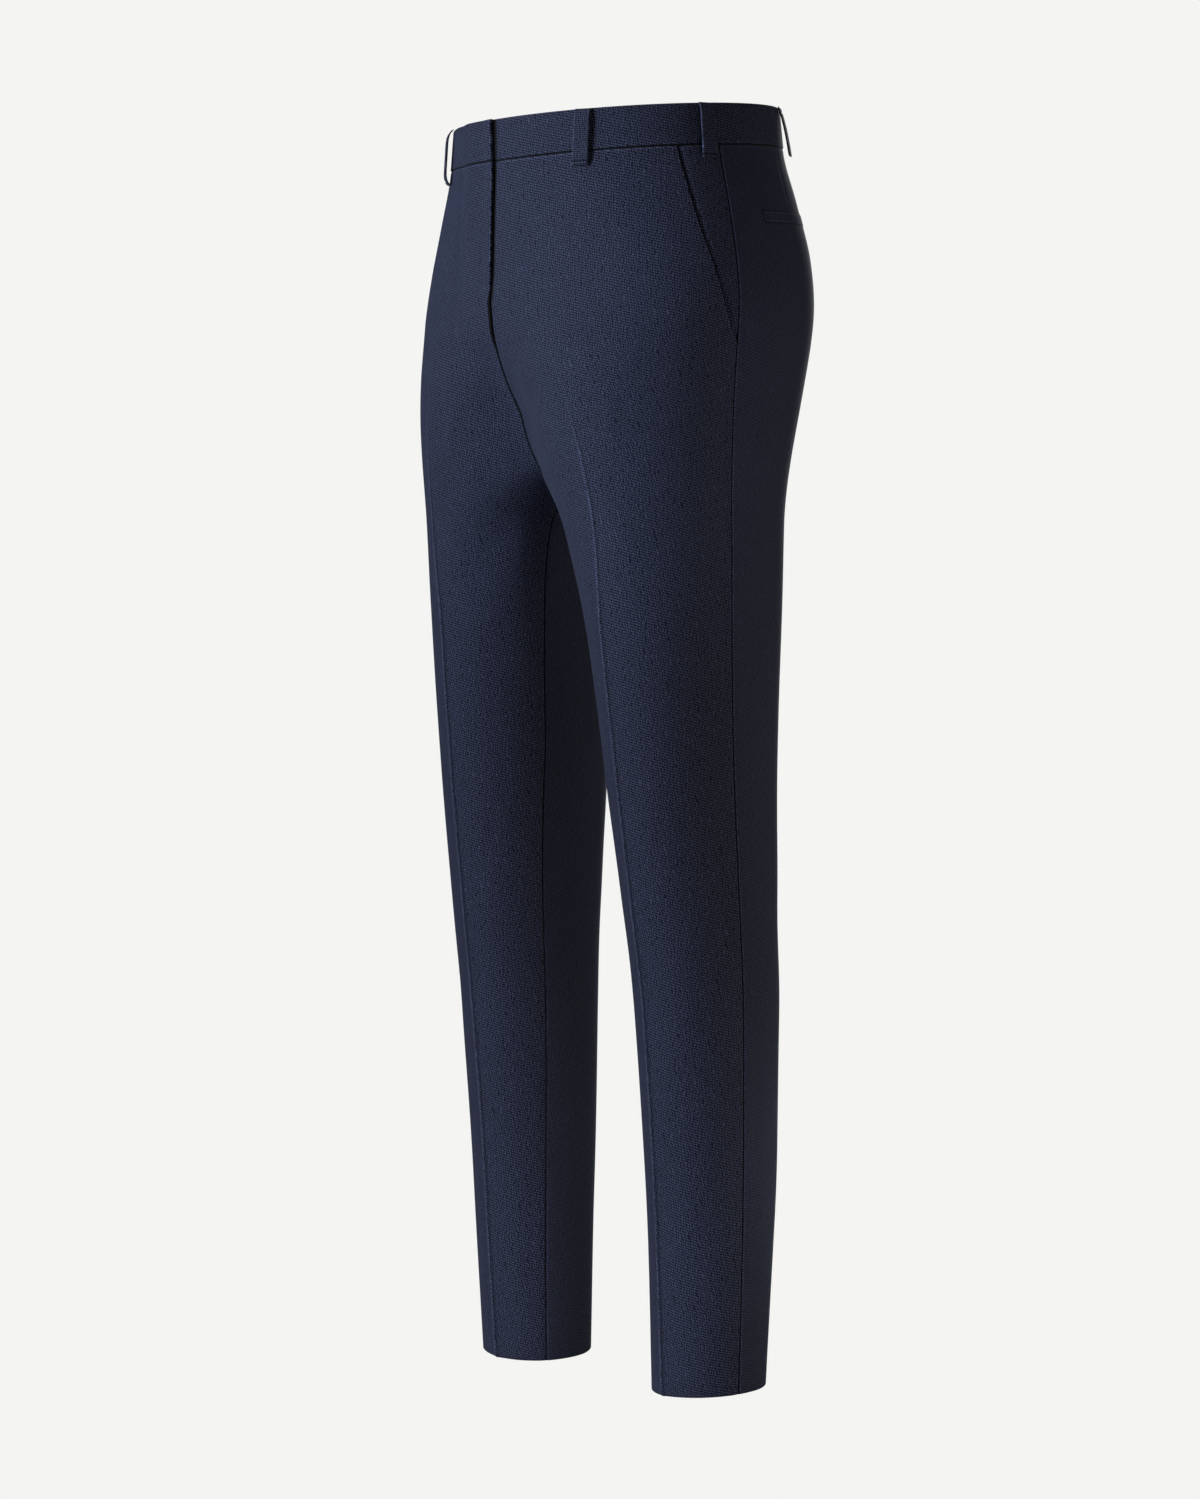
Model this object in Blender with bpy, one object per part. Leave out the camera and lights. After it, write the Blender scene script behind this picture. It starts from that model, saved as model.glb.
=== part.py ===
# Dress trousers, hollow and filled out as if worn, made of separate walls of cloth.
# Metres, +Z up, front towards -Y, the wearer's left towards +X. The origin is the middle of the waistband.

import bmesh
import bpy
import numpy as np

# Heights, measured from the middle of the waistband.
WAIST_TOP = 0.0190
WAIST_SEAM = -0.0150
HEM = -1.0268
FLY_LOW = -0.1350
FLY_CURVE = 0.0200
POCKET_LOW = -0.1760

# Cloth walls, and the clearances between pieces.
PANEL_WALL = 0.0015
BAND_WALL = 0.0022
LOOP_WALL = 0.0014
WELT_WALL = 0.0012
SEAM = 0.0003
CHORD = 0.0004          # a flat facet lies this far inside the round form at most
BAND_PROUD = 0.0005     # how far the band's face stands out from the panels

# The closing at the front: the right side laps over the left.
LAP_WIDTH = 0.0300
LAP_EASE = 0.0200       # over this distance the right side comes down to the form again
LAP_MARGIN = 0.0060
LAP_LOW = -0.1600
PANEL_LIFT = PANEL_WALL + SEAM + CHORD
BAND_LIFT = BAND_WALL + SEAM + CHORD

# The form: the waist tilts down to the front, and the hems a little, down to the front and inward.
WAIST_TILT = 0.067
TILT_LOW = -0.2200
TILT_FADE = 0.2000
HEM_FORWARD = 0.0023
HEM_INWARD = 0.0018
DROP_TOP = -0.8000
DROP_FADE = 0.2200
SPLIT_TOP = -0.1050     # the hips begin to part into legs here
SPLIT_LOW = -0.3200     # and are wholly apart here
FORK_SIDE = -0.3050     # the side seam's level in the row that ends at the crotch
HOLLOW_WIDTH = 0.0400   # the front sinks this far to each side of the rise seam

# Pressed creases down the middle of each leg, front and back.
CREASE_RISE = 0.0018
CREASE_SPREAD = 11.0    # degrees about the leg's centre
CREASE_TOP = -0.2000
CREASE_FADE = 0.2400

# Belt loops: the angle of each about the hip's side centre, mirrored on the other side, and its lower end.
LOOP_PLACES = {"front": (76.0, -0.0270), "side": (10.5, -0.0270), "back": (-59.0, -0.0215)}
LOOP_WIDTH = 0.0140
LOOP_TOP = 0.0188
LOOP_SEAT = 0.0005      # the sewn ends lie this close to the band
LOOP_STAND = 0.0047     # the middle stands off this far for the belt
LOOP_FLATNESS = 6       # the power that keeps its middle straight

# The pocket facings reach under the fronts, and dip to get there.
FACING_UNDER = 0.0120
FACING_DIP_START = 0.0120
FACING_DIP_WIDTH = 0.0090

# Back welt pockets.
WELT_START = -16.0
WELT_END = -79.0
WELT_LEVEL = -0.0735
WELT_HEIGHT = 0.0105

# How finely each piece is divided.
PANEL_ACROSS = 14
EDGE_FINENESS = 0.6     # the columns beside the outer edge are this much narrower
RISE_ROWS = 14
LEG_ROWS = 22
BAND_ACROSS = 30
BAND_ALONG = 2
FACING_ACROSS = 5
FACING_ALONG = 8
WELT_ACROSS = 12
LOOP_ALONG = 12

NAVY = (0.018, 0.023, 0.047)


def table(names, *rows):
    return dict(zip(names, np.array(rows, dtype=float)[::-1].T))


# Level sections of the hips: squared ellipses about the middle of the body.
HIP = table(
    ("level", "half_width", "front", "back", "squareness"),
    (0.020, 0.1475, 0.1225, 0.1290, 2.05),
    (-0.018, 0.1535, 0.1220, 0.1290, 2.10),
    (-0.060, 0.1660, 0.1230, 0.1345, 2.20),
    (-0.105, 0.1775, 0.1240, 0.1390, 2.35),
    (-0.150, 0.1850, 0.1265, 0.1390, 2.45),
    (-0.200, 0.1880, 0.1300, 0.1340, 2.50),
    (-0.260, 0.1895, 0.1315, 0.1290, 2.50),
    (-0.330, 0.1905, 0.1325, 0.1235, 2.50),
)

# Level sections of a leg about its own centre, how far its inner side leans to the front,
# and the angles of its seams and front crease (degrees: 0 is outward, 90 is the front).
LEG = table(
    ("level", "centre_x", "centre_y", "half_out", "half_in", "depth", "lean", "side", "crease", "inseam"),
    (0.020, 0.0660, -0.0040, 0.0700, 0.0700, 0.1200, 0.000, 3.5, 80.0, 180.0),
    (-0.100, 0.0665, -0.0065, 0.0780, 0.0790, 0.1250, 0.000, 3.0, 82.0, 180.0),
    (-0.150, 0.0680, -0.0080, 0.0820, 0.0900, 0.1260, 0.010, 2.0, 83.0, 180.0),
    (-0.260, 0.0935, -0.0110, 0.0735, 0.0860, 0.1050, 0.031, 0.0, 84.0, 180.0),
    (-0.330, 0.1050, -0.0110, 0.0655, 0.0722, 0.0935, 0.028, 0.0, 86.0, 177.0),
    (-0.420, 0.1110, -0.0105, 0.0600, 0.0620, 0.0840, 0.012, 0.5, 90.0, 168.0),
    (-0.520, 0.1150, -0.0080, 0.0555, 0.0565, 0.0755, 0.000, 0.5, 90.5, 161.0),
    (-0.620, 0.1195, -0.0030, 0.0520, 0.0520, 0.0680, 0.000, 1.0, 92.0, 159.0),
    (-0.720, 0.1220, 0.0030, 0.0500, 0.0500, 0.0615, 0.000, 3.0, 92.5, 158.5),
    (-0.880, 0.1215, 0.0075, 0.0475, 0.0475, 0.0525, 0.000, 6.0, 94.0, 155.0),
    (-1.030, 0.1180, 0.0080, 0.0470, 0.0470, 0.0440, 0.000, 8.0, 94.0, 153.0),
)
LEG_SQUARENESS = 2.2

# How deep the front sinks along the rise seam, between the thighs.
HOLLOW = table(
    ("level", "depth"),
    (-0.135, 0.0000),
    (-0.161, 0.0045),
    (-0.181, 0.0110),
    (-0.203, 0.0190),
    (-0.232, 0.0300),
    (-0.262, 0.0260),
    (-0.285, 0.0110),
    (-0.315, 0.0000),
)

# The slanted pocket edge: how far ahead of the side seam it runs.
POCKET = table(
    ("level", "ahead"),
    (-0.015, 0.0380),
    (-0.072, 0.0315),
    (-0.118, 0.0215),
    (-0.162, 0.0090),
    (-0.176, 0.0000),
)

# Soft drags and hollows in the cloth, which reach over this many degrees and metres.
FOLDS = table(
    ("level", "angle", "wide", "tall", "rise", "slope"),
    (-0.250, 130.0, 16.0, 0.050, 0.0022, -260.0),
    (-0.310, 62.0, 22.0, 0.080, -0.0020, 120.0),
    (-0.225, -128.0, 18.0, 0.050, 0.0026, 240.0),
    (-0.300, -60.0, 26.0, 0.070, -0.0022, -150.0),
    (-0.400, 130.0, 24.0, 0.090, -0.0018, 90.0),
    (-0.560, -115.0, 24.0, 0.060, 0.0016, 160.0),
    (-0.600, 40.0, 20.0, 0.070, -0.0012, -120.0),
)


def smooth(share):
    share = np.clip(share, 0.0, 1.0)
    return share * share * (3.0 - 2.0 * share)


def mix(start, end, share):
    return start + (end - start) * share


def read(rows, name, level):
    # One column at any level, through its rows without overshoot.
    known, value = rows["level"], rows[name]
    gap = np.diff(known)
    rate = np.diff(value) / gap
    before, after = rate[:-1], rate[1:]
    turning = before * after <= 0.0
    total = np.where(turning, 1.0, before + after)
    slope = np.concatenate(([rate[0]], np.where(turning, 0.0, 2.0 * before * after / total), [rate[-1]]))
    level = np.clip(level, known[0], known[-1])
    row = np.clip(np.searchsorted(known, level, side="right") - 1, 0, len(gap) - 1)
    share = (level - known[row]) / gap[row]
    rest = 1.0 - share
    values = mix(value[row], value[row + 1], smooth(share))
    return values + gap[row] * share * rest * (slope[row] * rest - slope[row + 1] * share)


def hip_reach(out, front, centre_x, centre_y, level):
    # How far the hips' section lies from a leg's centre, in one direction.
    half_width = read(HIP, "half_width", level)
    squareness = read(HIP, "squareness", level)
    ahead, behind = read(HIP, "front", level), read(HIP, "back", level)
    near, far = np.zeros_like(out), np.full_like(out, 0.6)
    for _ in range(30):
        middle = (near + far) / 2.0
        x, y = centre_x + middle * out, centre_y - middle * front
        depth = np.where(y < 0.0, ahead, behind)
        inside = np.abs(x / half_width) ** squareness + np.abs(y / depth) ** squareness < 1.0
        near, far = np.where(inside, middle, near), np.where(inside, far, middle)
    return near


def leg_reach(out, front, level):
    width = np.where(out > 0.0, read(LEG, "half_out", level), read(LEG, "half_in", level))
    depth = read(LEG, "depth", level)
    power = LEG_SQUARENESS
    return (np.abs(out / width) ** power + np.abs(front / depth) ** power) ** (-1.0 / power)


def form(angle, level):
    # A point of the smooth left half, at an angle about the leg's centre.
    angle, level = np.broadcast_arrays(np.asarray(angle, float), np.asarray(level, float))
    out, front = np.cos(np.radians(angle)), np.sin(np.radians(angle))
    centre_x, centre_y = read(LEG, "centre_x", level), read(LEG, "centre_y", level)
    apart = smooth((SPLIT_TOP - level) / (SPLIT_TOP - SPLIT_LOW))
    reach = mix(hip_reach(out, front, centre_x, centre_y, level), leg_reach(out, front, level), apart)
    inward = np.clip(-out, 0.0, 1.0) ** 2
    x = centre_x + reach * out
    y = centre_y - reach * front - read(LEG, "lean", level) * inward
    y = y + read(HOLLOW, "depth", level) * np.exp(-(x / HOLLOW_WIDTH) ** 2) * np.clip(front, 0.0, 1.0)
    tilt = WAIST_TILT * y * smooth((level - TILT_LOW) / TILT_FADE)
    drop = (HEM_FORWARD * front - HEM_INWARD * out) * smooth((DROP_TOP - level) / DROP_FADE)
    return np.stack((x, y, level + tilt - drop), axis=-1)


def outward(angle, level):
    turn, rise = 0.5, 0.001
    across = form(angle + turn, level) - form(angle - turn, level)
    up = form(angle, level + rise) - form(angle, level - rise)
    normal = np.cross(up, across)
    return normal / np.linalg.norm(normal, axis=-1, keepdims=True)


def crease_ridge(angle, level):
    crease = read(LEG, "crease", level)
    ahead = np.exp(-np.abs(angle - crease) / CREASE_SPREAD)
    behind = np.exp(-np.abs(angle - crease + 180.0) / CREASE_SPREAD)
    return CREASE_RISE * (ahead + behind) * smooth((CREASE_TOP - level) / CREASE_FADE)


def folds(angle, level):
    total = np.zeros_like(angle)
    for row in range(len(FOLDS["level"])):
        up = level - FOLDS["level"][row]
        across = angle - FOLDS["angle"][row] - FOLDS["slope"][row] * up
        total += FOLDS["rise"][row] * np.exp(-(across / FOLDS["wide"][row]) ** 2 - (up / FOLDS["tall"][row]) ** 2)
    return total


def skin(angle, level, raised=0.0):
    # The cloth's outer face and its normal, raised off the form by a small amount.
    normal = outward(angle, level)
    height = raised + crease_ridge(angle, level) + folds(angle, level)
    return form(angle, level) + normal * height[..., None], normal


def aside(angle, level, distance):
    # An angle moved on by a distance along the level section, towards the front.
    turn = 0.5
    pace = np.linalg.norm(form(angle + turn, level) - form(angle - turn, level), axis=-1)
    return angle + distance / pace * 2.0 * turn


def angle_at(level, start, end, offset):
    # The angle between start and end where the form crosses a plane beside the middle.
    near, far = np.full_like(level, start), np.full_like(level, end)
    for _ in range(34):
        middle = (near + far) / 2.0
        beyond = form(middle, level)[..., 0] > offset
        near, far = np.where(beyond, middle, near), np.where(beyond, far, middle)
    return (near + far) / 2.0


def fork_level():
    # Where the rise seam ends at the crotch and the inseams begin.
    high, low = np.array(-0.2000), np.array(-0.3200)
    for _ in range(40):
        middle = (high + low) / 2.0
        joined = form(read(LEG, "inseam", middle), middle)[0] < SEAM / 2.0
        high, low = (middle, low) if joined else (high, middle)
    return float(low)


FORK = fork_level()
PANEL_TOP = WAIST_SEAM - SEAM


def underlap(level):
    return LAP_WIDTH * smooth((level - FLY_LOW) / FLY_CURVE)


def rise_edge(start, end, lapped):
    # The rise seam from waist to crotch, in even steps along its curve.
    share = np.linspace(1.0, 0.0, 240)
    level = FORK + (PANEL_TOP - FORK) * share ** 2
    offset = SEAM / 2.0 - (underlap(level) if lapped else 0.0)
    angle = angle_at(level, start, end, offset)
    path = form(angle, level)
    run = np.concatenate(([0.0], np.cumsum(np.linalg.norm(np.diff(path, axis=0), axis=1))))
    steps = np.linspace(0.0, run[-1], RISE_ROWS + 1)
    return np.interp(steps, run, angle), np.interp(steps, run, level)


def side_levels():
    rise = np.linspace(PANEL_TOP, FORK_SIDE, RISE_ROWS + 1)
    leg = np.linspace(FORK_SIDE, HEM, LEG_ROWS + 1)
    return np.concatenate((rise, leg[1:]))


def inner_edge(front, lapped):
    # The rise seam and then the inseam, for a front or a back panel.
    rise_angle, rise_level = rise_edge(90.0 if front else -90.0, 180.0 if front else -180.0, lapped)
    leg_level = np.linspace(FORK, HEM, LEG_ROWS + 1)[1:]
    leg_angle = read(LEG, "inseam", leg_level)
    leg_angle = aside(leg_angle, leg_level, -SEAM / 2.0 if front else SEAM / 2.0)
    if not front:
        leg_angle = leg_angle - 360.0
    return np.concatenate((rise_angle, leg_angle)), np.concatenate((rise_level, leg_level))


def outer_edge(front):
    level = side_levels()
    step = read(POCKET, "ahead", level) + SEAM / 2.0 if front else -SEAM / 2.0
    return aside(read(LEG, "side", level), level, step), level


def panel_place(front, lapped=False, lap_over=False):
    # Gives the surface function of one panel over its own grid.
    outer_angle, outer_level = outer_edge(front)
    inner_angle, inner_level = inner_edge(front, lapped)
    rows = len(outer_level) - 1
    half_turn = 0.0 if front else 180.0

    def place(across, along):
        row = np.rint(along * rows).astype(int)
        level = mix(outer_level[row], inner_level[row], smooth(across))
        middle_level = mix(outer_level[row], inner_level[row], 0.5)
        crease = read(LEG, "crease", middle_level) - half_turn
        first, second = np.clip(across * 2.0, 0.0, 1.0), np.clip(across * 2.0 - 1.0, 0.0, 1.0)
        first = first * mix(EDGE_FINENESS, 1.0, first)
        angle = outer_angle[row] + (crease - outer_angle[row]) * first + (inner_angle[row] - crease) * second
        raised = np.zeros_like(angle)
        if lap_over:
            raised = lap_height(form(angle, level)[..., 0], level, PANEL_LIFT)
        face, normal = skin(angle, level, raised)
        back = face - normal * PANEL_WALL
        edge = SEAM / 2.0 - (underlap(level) if lapped else 0.0)
        face[..., 0] = np.maximum(face[..., 0], edge)
        back[..., 0] = np.maximum(back[..., 0], edge)
        return face, back

    return place


def lap_height(x, level, lift):
    beside = smooth((LAP_WIDTH + LAP_MARGIN + LAP_EASE - x) / LAP_EASE)
    above = smooth((level - LAP_LOW + LAP_EASE) / LAP_EASE)
    return lift * beside * above


def band_place(lapped):
    # One half of the waistband, from the front closing round to the centre back.
    def place(across, along):
        level = mix(WAIST_SEAM, WAIST_TOP, along)
        front_edge = angle_at(level, 90.0, 180.0, SEAM / 2.0 - (LAP_WIDTH if lapped else 0.0))
        back_edge = angle_at(level, -90.0, -180.0, SEAM / 2.0)
        angle = mix(front_edge, back_edge, across)
        lift = BAND_PROUD
        if not lapped:
            lift = BAND_PROUD + lap_height(form(angle, level)[..., 0], level, BAND_LIFT) * (angle > 0.0)
        normal = outward(angle, level)
        face = form(angle, level) + normal * (lift + np.zeros_like(angle))[..., None]
        return face, face - normal * BAND_WALL

    return place


def facing_place(across, along):
    # The pocket's facing: flush at the side seam, dipping under the front's slanted edge.
    level = mix(PANEL_TOP, POCKET_LOW, along)
    ahead = read(POCKET, "ahead", level)
    beside = mix(SEAM / 2.0, ahead + FACING_UNDER, across)
    angle = aside(read(LEG, "side", level), level, beside)
    dip = (PANEL_WALL + SEAM + CHORD) * smooth((beside - ahead + FACING_DIP_START) / FACING_DIP_WIDTH)
    face, normal = skin(angle, level, -dip)
    return face, face - normal * PANEL_WALL


def welt_place(across, along):
    angle = mix(WELT_START, WELT_END, across)
    level = WELT_LEVEL + WELT_HEIGHT * (0.5 - along)
    face, normal = skin(angle, level, WELT_WALL + SEAM + CHORD)
    return face, face - normal * WELT_WALL


def loop_place(angle, low):
    # A flat strip that stands off the band between its two sewn ends.
    middle = np.array(angle)

    def place(across, along):
        level = mix(LOOP_TOP, low, along)
        base = form(middle, level)
        normal = outward(middle, np.array(0.0))
        level_normal = normal * (1.0, 1.0, 0.0)
        level_normal = level_normal / np.linalg.norm(level_normal)
        beside = np.cross((0.0, 0.0, 1.0), level_normal)
        standing = 1.0 - (2.0 * along - 1.0) ** LOOP_FLATNESS
        stand = BAND_PROUD + LOOP_WALL + mix(LOOP_SEAT, LOOP_STAND, standing)
        point = base + level_normal * stand[..., None] + beside * ((across - 0.5) * LOOP_WIDTH)[..., None]
        return point, point - level_normal * LOOP_WALL

    return place


def paint(name):
    material = bpy.data.materials.new(name + "_cloth")
    material.use_nodes = True
    shader = material.node_tree.nodes["Principled BSDF"]
    shader.inputs["Base Color"].default_value = (*NAVY, 1.0)
    shader.inputs["Roughness"].default_value = 0.82
    shader.inputs["Metallic"].default_value = 0.0
    material.diffuse_color = (*NAVY, 1.0)
    return material


def cloth(name, across, along, place, side=1.0):
    # A closed wall of cloth: a grid laid on its outer face, extruded inward.
    mesh = bmesh.new()
    bmesh.ops.create_grid(mesh, x_segments=across, y_segments=along, size=0.5)
    spot = mesh.verts.layers.int.new("spot")
    shares = np.array([vert.co.xy for vert in mesh.verts]) + 0.5
    outer, inner = place(shares[:, 0], shares[:, 1]) * np.array((side, 1.0, 1.0))
    for index, vert in enumerate(mesh.verts):
        vert[spot] = index
        vert.co = outer[index]
    made = bmesh.ops.extrude_face_region(mesh, geom=mesh.faces[:], use_keep_orig=True)
    for vert in made["geom"]:
        if isinstance(vert, bmesh.types.BMVert):
            vert.co = inner[vert[spot]]
    bmesh.ops.recalc_face_normals(mesh, faces=mesh.faces[:])
    mesh.verts.layers.int.remove(spot)
    data = bpy.data.meshes.new(name)
    mesh.to_mesh(data)
    mesh.free()
    data.shade_smooth()
    data.set_sharp_from_angle(angle=0.9)
    data.materials.append(paint(name))
    piece = bpy.data.objects.new(name, data)
    bpy.context.scene.collection.objects.link(piece)
    return piece


def make_panels():
    rows = RISE_ROWS + LEG_ROWS
    cloth("front_left", PANEL_ACROSS, rows, panel_place(True, lapped=True))
    cloth("front_right", PANEL_ACROSS, rows, panel_place(True, lap_over=True), -1.0)
    cloth("back_left", PANEL_ACROSS, rows, panel_place(False))
    cloth("back_right", PANEL_ACROSS, rows, panel_place(False), -1.0)


def make_waistband():
    cloth("waistband_left", BAND_ACROSS, BAND_ALONG, band_place(True))
    cloth("waistband_right", BAND_ACROSS, BAND_ALONG, band_place(False), -1.0)


def make_pockets():
    for name, side in (("left", 1.0), ("right", -1.0)):
        cloth("pocket_facing_" + name, FACING_ACROSS, FACING_ALONG, facing_place, side)
        cloth("back_welt_" + name, WELT_ACROSS, 1, welt_place, side)


def make_belt_loops():
    for spot, (angle, low) in LOOP_PLACES.items():
        cloth(f"belt_loop_{spot}_left", 1, LOOP_ALONG, loop_place(angle, low))
        cloth(f"belt_loop_{spot}_right", 1, LOOP_ALONG, loop_place(angle, low), -1.0)
    centre_back = float(angle_at(np.array(0.0), -90.0, -180.0, 0.0))
    cloth("belt_loop_centre_back", 1, LOOP_ALONG, loop_place(centre_back, LOOP_PLACES["back"][1]))


for old in list(bpy.data.objects):
    bpy.data.objects.remove(old)
make_panels()
make_waistband()
make_pockets()
make_belt_loops()
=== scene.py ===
import math

import bmesh
import bpy
import numpy as np
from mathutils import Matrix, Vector


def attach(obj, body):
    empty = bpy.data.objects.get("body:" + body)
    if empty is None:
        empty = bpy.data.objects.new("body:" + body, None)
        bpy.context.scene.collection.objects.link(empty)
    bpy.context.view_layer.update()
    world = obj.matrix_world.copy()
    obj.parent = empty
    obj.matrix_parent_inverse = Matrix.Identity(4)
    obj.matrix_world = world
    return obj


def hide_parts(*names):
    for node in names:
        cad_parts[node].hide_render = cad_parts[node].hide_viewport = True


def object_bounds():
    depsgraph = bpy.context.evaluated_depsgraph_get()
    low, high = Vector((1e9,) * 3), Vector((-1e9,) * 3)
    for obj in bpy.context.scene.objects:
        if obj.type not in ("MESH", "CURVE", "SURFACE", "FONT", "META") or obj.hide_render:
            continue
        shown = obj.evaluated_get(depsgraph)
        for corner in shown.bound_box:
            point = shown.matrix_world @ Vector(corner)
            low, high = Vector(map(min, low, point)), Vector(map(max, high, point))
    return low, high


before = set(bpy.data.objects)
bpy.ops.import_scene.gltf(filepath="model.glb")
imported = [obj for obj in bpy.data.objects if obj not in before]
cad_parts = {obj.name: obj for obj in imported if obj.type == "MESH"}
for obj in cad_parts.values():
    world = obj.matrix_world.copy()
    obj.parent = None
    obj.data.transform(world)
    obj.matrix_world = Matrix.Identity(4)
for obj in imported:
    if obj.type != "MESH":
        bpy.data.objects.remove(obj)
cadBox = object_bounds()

# Dress trousers, filled out with no wearer. Metres, +Z up, the front faces -Y, wearer's left is +X.

# the cut: heights from the middle of the waistband, walls and clearances
cut = {
    "waistTop": 0.0190, "waistSeam": -0.0150, "hem": -1.0268,
    "flyLow": -0.1350, "flyCurve": 0.0200, "pocketLow": -0.1760,
    "panelWall": 0.0015, "bandWall": 0.0022, "loopWall": 0.0014, "weltWall": 0.0012,
    "seam": 0.0003, "chord": 0.0004, "bandProud": 0.0005,
    "meet": -0.0001,  # sewn cloth meets a little past its seam, so that no light comes through
    "lapWidth": 0.0300, "lapEase": 0.0200, "lapMargin": 0.0060, "lapLow": -0.1600,
    "sideAtFork": -0.3050,
}

# the form filled out: how the waist tilts, the hems drop and the hips part into legs
shape = {
    "waistTilt": 0.067, "tiltLow": -0.2200, "tiltFade": 0.2000,
    "hemForward": 0.0023, "hemInward": 0.0018, "dropTop": -0.8000, "dropFade": 0.2200,
    "splitTop": -0.1050, "splitLow": -0.3200, "hollowWidth": 0.0400, "legSquareness": 2.2,
    "creaseRise": 0.0018, "creaseSpread": 11.0, "creaseTop": -0.2000, "creaseFade": 0.2400,
}

# how finely the form is searched, in metres, halvings and degrees
search = {
    "farthest": 0.6, "hipHalvings": 30, "planeHalvings": 34, "forkHalvings": 40,
    "forkHigh": -0.2000, "forkLow": -0.3200, "turnStep": 0.5, "levelStep": 0.001,
}


def rowsOf(names, *rows):
    return dict(zip(names, np.array(rows, dtype=float)[::-1].T))


hips = rowsOf(
    ("level", "halfWidth", "front", "back", "squareness"),
    (0.020, 0.1475, 0.1225, 0.1290, 2.05),
    (-0.018, 0.1535, 0.1220, 0.1290, 2.10),
    (-0.060, 0.1660, 0.1230, 0.1345, 2.20),
    (-0.105, 0.1775, 0.1240, 0.1390, 2.35),
    (-0.150, 0.1850, 0.1265, 0.1390, 2.45),
    (-0.200, 0.1880, 0.1300, 0.1340, 2.50),
    (-0.260, 0.1895, 0.1315, 0.1290, 2.50),
    (-0.330, 0.1905, 0.1325, 0.1235, 2.50),
)

# angles are in degrees about the leg's centre: 0 is outward, 90 is the front
legs = rowsOf(
    ("level", "centreX", "centreY", "halfOut", "halfIn", "depth", "lean", "side", "crease", "inseam"),
    (0.020, 0.0660, -0.0040, 0.0700, 0.0700, 0.1200, 0.000, 3.5, 80.0, 180.0),
    (-0.100, 0.0665, -0.0065, 0.0780, 0.0790, 0.1250, 0.000, 3.0, 82.0, 180.0),
    (-0.150, 0.0680, -0.0080, 0.0820, 0.0900, 0.1260, 0.010, 2.0, 83.0, 180.0),
    (-0.260, 0.0935, -0.0110, 0.0735, 0.0860, 0.1050, 0.031, 0.0, 84.0, 180.0),
    (-0.330, 0.1050, -0.0110, 0.0655, 0.0722, 0.0935, 0.028, 0.0, 86.0, 177.0),
    (-0.420, 0.1110, -0.0105, 0.0600, 0.0620, 0.0840, 0.012, 0.5, 90.0, 168.0),
    (-0.520, 0.1150, -0.0080, 0.0555, 0.0565, 0.0755, 0.000, 0.5, 90.5, 161.0),
    (-0.620, 0.1195, -0.0030, 0.0520, 0.0520, 0.0680, 0.000, 1.0, 92.0, 159.0),
    (-0.720, 0.1220, 0.0030, 0.0500, 0.0500, 0.0615, 0.000, 3.0, 92.5, 158.5),
    (-0.880, 0.1215, 0.0075, 0.0475, 0.0475, 0.0525, 0.000, 6.0, 94.0, 155.0),
    (-1.030, 0.1180, 0.0080, 0.0470, 0.0470, 0.0440, 0.000, 8.0, 94.0, 153.0),
)

riseHollow = rowsOf(  # how deep the front sinks along the rise seam
    ("level", "depth"),
    (-0.135, 0.0000), (-0.161, 0.0045), (-0.181, 0.0110), (-0.203, 0.0190),
    (-0.232, 0.0300), (-0.262, 0.0260), (-0.285, 0.0110), (-0.315, 0.0000),
)

pocketLine = rowsOf(  # how far ahead of the side seam the slanted edge runs
    ("level", "ahead"),
    (-0.015, 0.0380), (-0.072, 0.0315), (-0.118, 0.0215), (-0.162, 0.0090), (-0.176, 0.0000),
)

# soft drags and hollows common to both legs: wide and slope in degrees, tall and rise in metres
foldNames = ("level", "angle", "wide", "tall", "rise", "slope")
sharedFolds = rowsOf(
    foldNames,
    (-0.250, 130.0, 16.0, 0.050, 0.0022, -260.0),
    (-0.310, 62.0, 22.0, 0.080, -0.0020, 120.0),
    (-0.225, -128.0, 18.0, 0.050, 0.0026, 240.0),
    (-0.300, -60.0, 26.0, 0.070, -0.0022, -150.0),
    (-0.400, 130.0, 24.0, 0.090, -0.0018, 90.0),
    (-0.560, -115.0, 24.0, 0.060, 0.0016, 160.0),
    (-0.600, 40.0, 20.0, 0.070, -0.0012, -120.0),
)

# each leg's own unevenness, laid over those
leftFolds = rowsOf(
    foldNames,
    (-0.205, 140.0, 9.0, 0.022, 0.0007, -700.0),
    (-0.236, 118.0, 8.0, 0.026, -0.0006, -620.0),
    (-0.350, 104.0, 10.0, 0.070, 0.0005, 60.0),
    (-0.470, 58.0, 13.0, 0.060, 0.0005, -80.0),
    (-0.655, 122.0, 12.0, 0.045, -0.0005, 220.0),
    (-0.700, 55.0, 12.0, 0.050, 0.0006, -180.0),
    (-0.820, 120.0, 14.0, 0.070, 0.0004, 60.0),
    (-0.940, 50.0, 16.0, 0.050, -0.0005, 40.0),
    (-0.240, -95.0, 14.0, 0.040, -0.0009, 320.0),
    (-0.345, -118.0, 12.0, 0.050, 0.0009, 260.0),
    (-0.640, -70.0, 14.0, 0.040, -0.0009, -200.0),
    (-0.690, -120.0, 14.0, 0.035, 0.0008, 240.0),
    (-0.860, -60.0, 14.0, 0.060, 0.0007, 80.0),
)
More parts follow.
